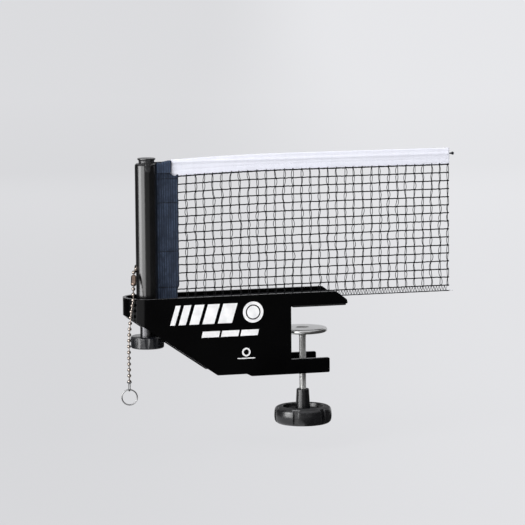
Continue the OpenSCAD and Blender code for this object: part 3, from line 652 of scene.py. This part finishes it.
def makeNetMesh():
    rows = [rowPath(j) for j in range(net["rows"] + 1)]
    strands, ties = [], []
    for i in range(net["columns"]):
        knots = columnKnots(i)
        for j, (x, _) in enumerate(knots):
            ties.append([vec(x + step, 0, rowHeight(x + step, j)) for step in strand["knotReach"]])
        strands += [strandPath(i, side, knots) for side in (-1, 1)]
    thin, more = strand["knotRadius"]
    threads = join(
        sweepTubes(rows[:-1], net["rowRadius"] * mm),
        sweepTubes(rows[-1:], net["topRowRadius"] * mm),
        sweepTubes(ties, lambda t: (thin + more * math.sin(math.pi * t)) * mm),
    )
    makePiece("netMesh", threads, "netThread", ["net_mesh"])
    threads = sweepTubes(strands, strand["radius"] * mm, 5)
    makePiece("netStrands", threads, "softThread")


makeNetMesh()
print("mesh knitted")


def clothShell(outline, rows, thick):
    # outline(row) gives points along a folded cloth; the shell gets an inner skin and closed rims
    grid = [outline(row) for row in rows]
    columns = len(grid[0])
    outer = [p for line in grid for p in line]
    inner = []
    for r, line in enumerate(grid):
        for c, p in enumerate(line):
            along = line[min(c + 1, columns - 1)] - line[max(c - 1, 0)]
            up = grid[min(r + 1, len(grid) - 1)][c] - grid[max(r - 1, 0)][c]
            inner.append(p - along.cross(up).normalized() * thick * mm)
    count = len(outer)
    faces = gridFaces(len(grid), columns)
    faces += [tuple(v + count for v in reversed(face)) for face in faces]
    last = (len(grid) - 1) * columns
    for c in range(columns - 1):
        faces.append((c + 1, c, c + count, c + 1 + count))
        faces.append((last + c, last + c + 1, last + c + 1 + count, last + c + count))
    for r in range(len(grid) - 1):
        left, right = r * columns, r * columns + columns - 1
        faces.append((left, left + columns, left + columns + count, left + count))
        faces.append((right + columns, right, right + count, right + columns + count))
    return outer + inner, faces


def foldedOver(x, foot, top, s, face):
    # up the front, over a rounded fold and down the back; face(x, z, side) is the cloth's distance out
    shoulder = top - s["crown"]
    heights = evenly(foot, shoulder, s["heights"])
    line = [vec(x, -face(x, z, -1), z) for z in heights]
    for k in range(1, s["crownSteps"]):
        a = math.pi * k / s["crownSteps"]
        line.append(vec(x, -face(x, shoulder, -1) * math.cos(a), shoulder + s["crown"] * math.sin(a)))
    return line + [vec(x, face(x, z, 1), z) for z in reversed(heights)]


def hump(distance, width):
    return math.exp(-((distance / width) ** 2))


tape = {
    "left": -134.6, "thick": 0.35, "halfDepth": 0.72, "wave": 0.16,
    "cordBulge": 1.28, "bulgeWidth": 1.5,
    "seamDrop": 10.6, "seamDepth": 0.14, "seamWidth": 0.7,  # the drop is from the top edge
    "lipWave": 0.16, "lipShake": 0.36,  # of the lower edge, even and uneven
    "crown": 0.55, "crownSteps": 8,  # rounding of the fold
    "lengths": 240, "heights": 26,
    "lowerSeam": 1.5,  # above the lower edge
    "flat": (0.0335, 0.29),  # cut size in metres
}


def tapeFace(x, z, side=1):
    # how far the cloth stands out from the middle, the same on either side
    bulge = hump(z - net["cordZ"], tape["bulgeWidth"])
    depth = tape["halfDepth"] + (tape["cordBulge"] - tape["halfDepth"]) * bulge
    seam = hump(z - tapeTop(x) + tape["seamDrop"], tape["seamWidth"])
    wave = ripple(x * 0.05, z * 0.11, 2) + 0.5 * ripple(x * 0.17, z * 0.2, 8)
    return depth + tape["wave"] * wave - tape["seamDepth"] * seam


def tapeSection(x):
    lip = tape["lipWave"] * math.sin(x * 1.9) + tape["lipShake"] * ripple(x * 0.22, 3, 1)
    return foldedOver(x, tapeTop(x) - net["tapeHeight"] + lip, tapeTop(x), tape, tapeFace)


tapeStitch = {
    "length": 1.7, "pitch": 2.6, "radius": 0.13, "rise": 0.1,
    "out": 0.3,  # less than the cloth's thickness, so that its ends sink in
    "margin": 1.5,  # from the tape's end
}


def stitchLine(x, side, s, face, height):
    line = []
    for k in range(5):
        along = x + s["length"] * k / 4
        z = height(along)
        y = face(along, z, side) + s["out"] + s["rise"] * math.sin(math.pi * k / 4)
        line.append(vec(min(along, net["right"]), side * y, z))
    return line


def makeNetTape(s):
    stations = evenly(tape["left"], net["right"], tape["lengths"])
    shell = clothShell(tapeSection, stations, tape["thick"])
    cloth = makePiece("netTape", shell, "whiteTape", ["net_tape"])
    lines = []
    for side in (-1, 1):
        for drop in (tape["seamDrop"], net["tapeHeight"] - tape["lowerSeam"]):
            for i in range(int((net["right"] - tape["left"]) / s["pitch"])):
                x = tape["left"] + s["margin"] + i * s["pitch"]
                lines.append(stitchLine(x, side, s, tapeFace, lambda along: tapeTop(along) - drop))
    threads = sweepTubes(lines, s["radius"] * mm, 5)
    makePiece("tapeStitches", threads, "whiteTape")


makeNetTape(tapeStitch)
print("tape folded over the cord")

sleeve = {
    "foot": 10.3, "right": -128.3, "edgeTop": 133.2,
    "topLine": (
        (-151, 138.2), (-137.4, 138.2), (-133.6, 134.2), (-130.9, 133.4), (-129.6, 134.6), (-127.5, 134.9),
    ),
    "topShake": 0.2,
    "narrowBelow": 24.5, "narrowOver": 4, "narrowBy": 2.0,  # the right edge steps in above the bracket
    "half": 1.15, "thick": 0.8, "ribDepth": 0.42,
    "seams": (22.9, 58.6, 107.2, 130.9), "seamWidth": 1.3, "seamDepth": 0.4,
    "rimDrop": 0.45, "rimWidth": 0.5,  # rounding of both edges
    "neck": (1.3, 0.72),  # past the left edge and out, in the post's slot
    "rodX": -155.3, "rodFoot": 40.3, "rodTop": 132.3,
    "rodReach": 3.15,  # from the rod's middle to the loop's outside
    "across": 96, "levels": 82,
    "flat": (0.052, 0.126),  # cut size in metres
}


def ease(t):
    return t * t * (3 - 2 * t)


def followLine(points, x):
    for (xa, za), (xb, zb) in zip(points, points[1:]):
        if x <= xb:
            return za + (zb - za) * ease(max(0, (x - xa) / (xb - xa)))
    return points[-1][1]


def sleeveTop(x):
    # the upper edge of the webbing: tucked under the tab, then lower towards the net
    return followLine(sleeve["topLine"], x) + sleeve["topShake"] * ripple(x * 0.4, 1, 4)


def sleeveEdge(z):
    narrow = ease(min(1, max(0, (sleeve["narrowBelow"] - z) / sleeve["narrowOver"])))
    shake = 0.5 * ripple(z * 0.12, 9, 2) + 0.3 * ripple(z * 0.5, 2, 7)
    return sleeve["right"] - sleeve["narrowBy"] * narrow + shake


def sleeveFace(x, z, side):
    # how far the ribbed webbing stands out from the middle, pressed in along its sewn rows
    rib = abs(math.sin(math.pi * (x - webbing["left"]) / webbing["ribPitch"]))
    sag = 0.22 * ripple(x * 0.09, z * 0.03, side)
    sag += 0.2 * max(0, x + 138) / 10 * ripple(x * 0.5, z * 0.16, side)  # more towards the net
    seam = min(1, sum(hump(z - height, sleeve["seamWidth"]) for height in sleeve["seams"]))
    return sleeve["half"] + sleeve["ribDepth"] * rib * (1 - 0.6 * seam) + sag - sleeve["seamDepth"] * seam


def sleeveSection(t):
    # t runs from foot to top; the path goes from the front right edge round the rod to the back
    foot, left = sleeve["foot"], webbing["left"]
    edge = sleeveEdge(foot + (sleeve["edgeTop"] - foot) * t)
    rodZ = sleeve["rodFoot"] + (sleeve["rodTop"] - sleeve["rodFoot"]) * t
    reach, (past, out) = sleeve["rodReach"], sleeve["neck"]
    halves = []
    for side in (-1, 1):
        half = []
        for x in evenly(edge, left, sleeve["across"]):
            z = foot + (sleeveTop(x) - foot) * t
            rims = math.exp(-(edge - x) / sleeve["rimWidth"]) + math.exp(-(x - left) / sleeve["rimWidth"])
            half.append(vec(x, side * (sleeveFace(x, z, side) - sleeve["rimDrop"] * rims), z))
        half.append(vec(left - past, side * out, half[-1].z / mm))
        for k in range(12):
            a = math.radians(25 + 155 * k / 12)
            half.append(vec(sleeve["rodX"] + reach * math.cos(a), side * reach * math.sin(a), rodZ))
        halves.append(half)
    return halves[0] + [vec(sleeve["rodX"] - reach, 0, rodZ)] + halves[1][::-1]


shell = clothShell(sleeveSection, evenly(0, 1, sleeve["levels"]), sleeve["thick"])
cloth = makePiece("netSleeve", shell, "navyWeave", ["net_sleeve"])
print("sleeve wrapped")

tab = {
    "right": -135.6, "foot": 136.7, "footShake": 0.35,
    "topLine": (
        (-150.4, 145.6), (-148.4, 146.9), (-145.8, 145.9), (-142.6, 147.3),
        (-140.0, 147.7), (-137.2, 148.2), (-135.6, 148.2),
    ),
    "half": 2.3, "thick": 0.7, "ribDepth": 0.3, "fold": 0.25,
    "cordBulge": 0.35, "bulgeWidth": 1.9,
    "lift": 2.0, "liftFrom": 0.55,  # of the end over the tape, from this share of its length
    "flare": 1.0, "flareHeight": 1.4,  # of the lower edge
    "crown": 0.8, "crownSteps": 7,
    "lengths": 60, "heights": 18,
    "flat": (0.0255, 0.0165),  # cut size in metres
}


def tabSection(x):
    foot = tab["foot"] + tab["footShake"] * ripple(x * 0.35, 6, 1)
    t = (x - webbing["left"]) / (tab["right"] - webbing["left"])
    lift = tab["lift"] * max(0, t - tab["liftFrom"]) ** 2
    rib = tab["ribDepth"] * abs(math.sin(math.pi * (x - webbing["left"]) / webbing["ribPitch"]))

    def face(x, z, side):
        bulge = tab["cordBulge"] * hump(z - net["cordZ"], tab["bulgeWidth"])
        fold = tab["fold"] * ripple(x * 0.25, z * 0.12, side * 3)
        flare = tab["flare"] * math.exp(-(z - foot) / tab["flareHeight"])
        return tab["half"] + bulge + rib + fold + lift + flare

    return foldedOver(x, foot, followLine(tab["topLine"], x), tab, face)


shell = clothShell(tabSection, evenly(webbing["left"], tab["right"], tab["lengths"]), tab["thick"])
cloth = makePiece("tabWrap", shell, "tabWeave", ["tape_end"])
print("tab wrapped")

hem = {
    "left": -129.5, "foot": 6.4, "top": 12.4,
    "edgeOut": 0.95, "edgeRise": 0.5, "edgeWave": 0.06, "edgeSteps": 150, "edgeRadius": 0.46,
    "lace": 2.9,  # step of the crossing threads
    "laceOut": 0.72, "laceStep": 0.1, "laceBow": 0.1, "laceRadius": 0.17,
    "laceEnds": (0.6, 0.3),  # above the foot and below the top
    "laceShake": (0.35, 0.3),  # along and up
    "margin": 0.3,
}


def laceCorner(i, side):
    low, high = hem["laceEnds"]
    shakeX, shakeZ = hem["laceShake"]
    x = hem["left"] + (i + (side > 0) / 2) / 2 * hem["lace"] + shakeX * ripple(i * 0.7, side, 3)
    z = hem["foot"] + low if i % 2 else hem["top"] - high
    z += shakeZ * ripple(i * 1.3, side * 2, 5)
    return vec(min(x, net["right"] - hem["margin"]), side * (hem["laceOut"] + hem["laceStep"] * (i % 2)), z)


def lacePath(corners, side):
    line = []
    for p, q in zip(corners, corners[1:]):
        for k in range(4):
            point = p.lerp(q, k / 4)
            point.y += side * hem["laceBow"] * mm * math.sin(math.pi * k / 2)
            line.append(point)
    return line + [corners[-1]]


def makeHem():
    edges, laces = [], []
    count = int((net["right"] - hem["left"]) / hem["lace"]) * 2 + 1
    for side in (-1, 1):
        edge = []
        for i, x in enumerate(evenly(hem["left"], net["right"], hem["edgeSteps"])):
            z = hem["foot"] + hem["edgeRise"] + hem["edgeWave"] * math.sin(i)
            edge.append(vec(x, side * hem["edgeOut"], z))
        edges.append(edge)
        laces.append(lacePath([laceCorner(i, side) for i in range(count)], side))
    edgeTubes = sweepTubes(edges, hem["edgeRadius"] * mm)
    threads = join(edgeTubes, sweepTubes(laces, hem["laceRadius"] * mm, 5))
    makePiece("netHem", threads, "hemThread", ["net_hem"])


makeHem()
print("hem laced")

sleeveStitch = {
    "length": 1.7, "pitch": 2.1, "radius": 0.28, "out": 0.88, "rise": 0.2, "shake": 0.25,
    "margins": (0.8, 1.2),  # from the left and right edges
}


def makeSleeveStitches(s):
    lines = []
    for side in (-1, 1):
        for height in sleeve["seams"]:
            x = webbing["left"] + s["margins"][0]
            while x < sleeveEdge(height) - s["margins"][1]:
                z = height + s["shake"] * ripple(x, height, side)
                lines.append(stitchLine(x, side, s, sleeveFace, lambda along: z))
                x += s["pitch"]
    threads = sweepTubes(lines, s["radius"] * mm, 5)
    makePiece("sleeveStitches", threads, "netThread")


makeSleeveStitches(sleeveStitch)
print("sleeve stitched")

cords = {
    "strands": 3, "step": 0.7,
    "lay": 0.5, "strandRadius": 0.52,  # from the cord's middle, both as shares of the cord's radius
    "past": 4,  # the net's cut end
}
tensionCord = {"radius": 0.9, "turn": 4.2, "foot": 50.5, "bend": 4.0}
hemCord = {"radius": 0.6, "turn": 3.2, "left": -128.3, "z": 7.2}
knot = {"radius": 0.95, "lobe": 0.35, "length": 0.75, "thread": 0.5, "steps": 60}


def laidCord(path, s):
    # strands twisted round each other along a path of points in millimetres
    lay = s["radius"] * cords["lay"]
    lines = [[] for _ in range(cords["strands"])]
    travelled = 0
    for i, p in enumerate(path):
        ahead = pathDirection(path, i)
        side = ahead.cross(Vector((0, 1, 0))).normalized()
        other = ahead.cross(side)
        if i:
            travelled += (p - path[i - 1]).length
        for n, line in enumerate(lines):
            a = 2 * math.pi * (travelled / s["turn"] + n / cords["strands"])
            line.append((p + (side * math.cos(a) + other * math.sin(a)) * lay) * mm)
    return sweepTubes(lines, s["radius"] * cords["strandRadius"] * mm)


def straight(xa, za, xb, zb):
    a, b = Vector((xa, 0, za)), Vector((xb, 0, zb))
    count = max(1, round((b - a).length / cords["step"]))
    return [a.lerp(b, i / count) for i in range(count + 1)]


def makeKnot(s, end, z):
    line = []
    for k in range(s["steps"] + 1):
        a = 2 * math.pi * k / s["steps"]
        r = s["radius"] + s["lobe"] * math.cos(3 * a)
        line.append(vec(end + s["length"] * math.sin(3 * a), r * math.cos(2 * a), z + r * math.sin(2 * a)))
    return sweepTubes([line], s["thread"] * mm)


def makeTensionCord(s):
    # up inside the post, over its top and along the tape to a knot
    top, bend, end = net["cordZ"], s["bend"], net["right"] + cords["past"]
    path = straight(postAxis, s["foot"], postAxis, top - bend)
    for k in range(1, 10):
        a = math.radians(9 * k)
        path.append(Vector((postAxis + bend - bend * math.cos(a), 0, top - bend + bend * math.sin(a))))
    path += straight(postAxis + bend, top, end, top)
    cord = join(laidCord(path, s), makeKnot(knot, end, top))
    makePiece("tensionCord", cord, "darkCord", ["tension_cord"])


makeTensionCord(tensionCord)
hemPath = straight(hemCord["left"], hemCord["z"], net["right"] + cords["past"], hemCord["z"])
makePiece("hemCord", laidCord(hemPath, hemCord), "whiteCord", ["hem_cord"])
print("cords laid")

mark = {
    "y": -24.02, "rise": 0.14,
    "bars": ((-144.0, 5.0), (-135.4, 7.4), (-124.4, 9.8), (-111.0, 12.2), (-95.2, 14.6)),  # x and width
    "lean": 6.0, "foot": -12.5, "height": 19.5,
    "ball": (-58.6, -2.7, 10.6),  # x, z and radius
    "ballRim": 0.72, "ballCore": 0.6,  # inside of the rim, and the core, as shares of the radius
    "dashLine": (-112.0, -52.0, -26.0, 6.0),  # from x to x, foot and height
    "dashes": 3, "dashGap": 2.2, "dashLean": 1.4,
    "ring": (-66.0, -42.5, 4.4), "ringRim": 0.62,
    "rule": (9, 2.2, 1.2),  # half its length, and its lower and upper edge below the ring
}


def solidShape(outline, s, hole=()):
    # a flat printed shape, or the rim between two outlines of (x, z), lifted a little off the sheet
    count, back, front = len(outline), s["y"], s["y"] - s["rise"]
    rows = [(outline, back), (outline, front)]
    if hole:
        rows += [(hole, front), (hole, back)]
    points = [vec(x, y, z) for row, y in rows for x, z in row]
    if not hole:
        ends = [tuple(range(count, 2 * count)), tuple(reversed(range(count)))]
        return points, gridFaces(2, count, closed=True) + ends
    around = gridFaces(5, count, closed=True)  # the fifth row is the first again
    return points, [tuple(v % len(points) for v in face) for face in around]


def circle(x, z, radius, sides=48):
    turns = [2 * math.pi * k / sides for k in range(sides)]
    return [(x + radius * math.cos(a), z + radius * math.sin(a)) for a in turns]


def leaningBar(left, right, foot, top, lean):
    return [(left, foot), (right, foot), (right + lean, top), (left + lean, top)]


def makeMark(s):
    foot, top = s["foot"], s["foot"] + s["height"]
    parts = [solidShape(leaningBar(x, x + width, foot, top, s["lean"]), s) for x, width in s["bars"]]
    x, z, r = s["ball"]
    rim = solidShape(circle(x, z, r), s, circle(x, z, r * s["ballRim"]))
    parts += [rim, solidShape(circle(x, z, r * s["ballCore"]), s)]
    x0, x1, z, height = s["dashLine"]
    step = (x1 - x0) / s["dashes"]
    for k in range(s["dashes"]):
        dash = leaningBar(x0 + step * k, x0 + step * (k + 1) - s["dashGap"], z, z + height, s["dashLean"])
        parts.append(solidShape(dash, s))
    x, z, r = s["ring"]
    half, low, high = s["rule"]
    ring = solidShape(circle(x, z, r, 32), s, circle(x, z, r * s["ringRim"], 32))
    parts += [ring, solidShape(leaningBar(x - half, x + half, z - r - low, z - r - high, 0), s)]
    makePiece("cheekMark", join(*parts), "whiteInk", (), "bracket_body", smooth=False)


makeMark(mark)
print("mark printed")

studio = {
    "floorZ": -0.147,  # clear of the star knob with the clamp fully open
    "floorHalf": 12, "floorFront": -6, "backTop": 9,
    "bend": (9, 2.5),  # where the floor curves up into the backdrop, and the curve's radius
    "skyColour": (0.715, 0.718, 0.738),
    "ambient": 0.2,  # of the world on dull surfaces
    "floorGlow": (0.963, 1.05),  # share of the floor's colour that needs no lamp, near and far
    "floorReach": (-0.5, 6.0),  # metres behind the clamp for those two
    "floorAcross": (0.06, 0.3),  # its fall to the left and rise to the right, and in how many metres
    "floorDull": (0.03, 0.03, 0.031),  # the rest, which takes the shadow
    "floorBounce": (0.55, 0.55, 0.56),
}
softLamps = {  # degrees to the left of the camera and up; metres; seen by dull surfaces only
    "keyLamp": {"azimuth": 42, "elevation": 30, "distance": 3.2, "size": (1.6, 1.6), "power": 92},
    "fillLamp": {"azimuth": -50, "elevation": 25, "distance": 3.4, "size": (2.0, 1.6), "power": 34},
    "backLamp": {"azimuth": 172, "elevation": 18, "distance": 3.2, "size": (2.0, 1.2), "power": 34},
    "topLamp": {"azimuth": 10, "elevation": 78, "distance": 2.6, "size": (2.0, 2.0), "power": 26},
}
lampTarget = Vector((0, 0, 0.03))
gleams = {  # upright panels that shiny surfaces mirror, between two angles to the left of the camera
    "sideGleam": {"between": (46, 78), "distance": 0.74, "top": 0.42, "radiance": 6.8},
    "frontGleam": {"between": (10, 46), "distance": 0.78, "top": 0.36, "radiance": 3.4},
}
cards = {  # grey screens that only shiny surfaces mirror
    "cardFront": {"between": (-42, 10), "far": 1.3, "grey": 0.3},
    "cardRight": {"between": (-135, -42), "far": 1.3, "grey": 0.05},
    "cardLeft": {"between": (91, 150), "far": 1.0, "grey": 0.07},
}
cardSteps = 12
gleamCentre = Vector((postAxis * mm, 0, 0))


def towards(azimuth, elevation=0):
    turn = math.radians(cameraSetup["azimuth"] + azimuth)
    lift = math.radians(elevation)
    return Vector((-math.sin(turn) * math.cos(lift), -math.cos(turn) * math.cos(lift), math.sin(lift)))


def makeLamp(name, size, power, place, way):
    data = bpy.data.lights.new(name, "AREA")
    data.shape = "RECTANGLE"
    data.size, data.size_y = size
    data.energy = power
    lamp = newObject(name, data)
    lamp.matrix_world = Matrix.Translation(place) @ way.to_track_quat("Z", "Y").to_matrix().to_4x4()
    lamp.visible_camera = False
    return lamp


def makeSoftLamp(name, s):
    way = towards(s["azimuth"], s["elevation"])
    lamp = makeLamp(name, s["size"], s["power"], lampTarget + way * s["distance"], way)
    lamp.visible_glossy = False


def makeGleam(name, s):
    low, high = s["between"]
    foot = studio["floorZ"] + 0.002  # just above the floor
    size = (2 * s["distance"] * math.tan(math.radians(high - low) / 2), s["top"] - foot)
    way = towards((low + high) / 2)
    place = gleamCentre + way * s["distance"] + Vector((0, 0, (s["top"] + foot) / 2))
    lamp = makeLamp(name, size, s["radiance"] * math.pi * size[0] * size[1], place, way)
    lamp.visible_diffuse = False


def makeCard(name, s):
    material = newMaterial(name, grey(s["grey"]), 1.0, {"Specular IOR Level": 0})[0]
    points = []
    for angle in evenly(*s["between"], cardSteps):
        way = towards(angle)
        for reach, z in ((0.16, 0.0008), (s["far"], 0.0008), (s["far"] + 0.02, 0.9)):  # just off the floor
            points.append(gleamCentre + Vector((way.x * reach, way.y * reach, studio["floorZ"] + z)))
    card = meshObject(name, points, gridFaces(cardSteps + 1, 3), material)
    card.visible_camera = card.visible_shadow = card.visible_diffuse = card.visible_transmission = False


def seenRays(tree):
    path = addNode(tree, "LightPath").outputs
    seen = mathNode(tree, "MAXIMUM", path["Is Camera Ray"], path["Is Glossy Ray"])
    return mathNode(tree, "MAXIMUM", seen, path["Is Transmission Ray"])


def makeFloorPaper(s):
    material, tree, _ = newMaterial("floorPaper")
    tree.nodes.remove(tree.nodes["Principled BSDF"])
    spin = {"Vector": objectPlace(tree), "Angle": math.radians(cameraSetup["azimuth"])}
    place = splitXYZ(tree, addNode(tree, "VectorRotate", spin, rotation_type="Z_AXIS").outputs[0])
    change, reach = s["floorAcross"]
    tilt = mapTo(tree, place["X"], -change, change, -reach, reach, interpolation_type="SMOOTHSTEP")
    strength = mathNode(tree, "ADD", mapTo(tree, place["Y"], *s["floorGlow"], *s["floorReach"]), tilt)
    glow = addNode(tree, "Emission", {"Color": tinted(s["skyColour"]), "Strength": strength}).outputs[0]
    dull = addNode(tree, "BsdfDiffuse", {"Color": tinted(s["floorDull"])}).outputs[0]
    bounce = addNode(tree, "BsdfDiffuse", {"Color": tinted(s["floorBounce"])}).outputs[0]
    shown = addNode(tree, "AddShader", {0: glow, 1: dull}).outputs[0]
    chosen = addNode(tree, "MixShader", {0: seenRays(tree), 1: bounce, 2: shown}).outputs[0]
    feed(tree, tree.nodes["Material Output"].inputs["Surface"], chosen)
    return material


def makeFloor(s):
    # a wide sheet that curves up into the backdrop
    start, radius = s["bend"]
    profile = [(s["floorFront"], 0)]
    for k in range(13):
        a = k * math.pi / 24
        profile.append((start + radius * math.sin(a), radius - radius * math.cos(a)))
    profile.append((start + radius, s["backTop"]))
    points = [(x, y, s["floorZ"] + z) for x in (-s["floorHalf"], s["floorHalf"]) for y, z in profile]
    meshObject("floor", points, gridFaces(2, len(profile)), makeFloorPaper(s))


def makeWorld(s):
    world = bpy.data.worlds.new("studio")
    world.use_nodes = True
    bpy.context.scene.world = world
    tree = world.node_tree
    sockets = tree.nodes["Background"].inputs
    sockets["Color"].default_value = tinted(s["skyColour"])
    feed(tree, sockets["Strength"], mapTo(tree, seenRays(tree), s["ambient"], 1.0))


makeFloor(studio)
makeWorld(studio)
for make, kind in ((makeSoftLamp, softLamps), (makeGleam, gleams), (makeCard, cards)):
    for name, s in kind.items():
        make(name, s)
bpy.context.scene.view_settings.view_transform = "Standard"
print("stage lit")
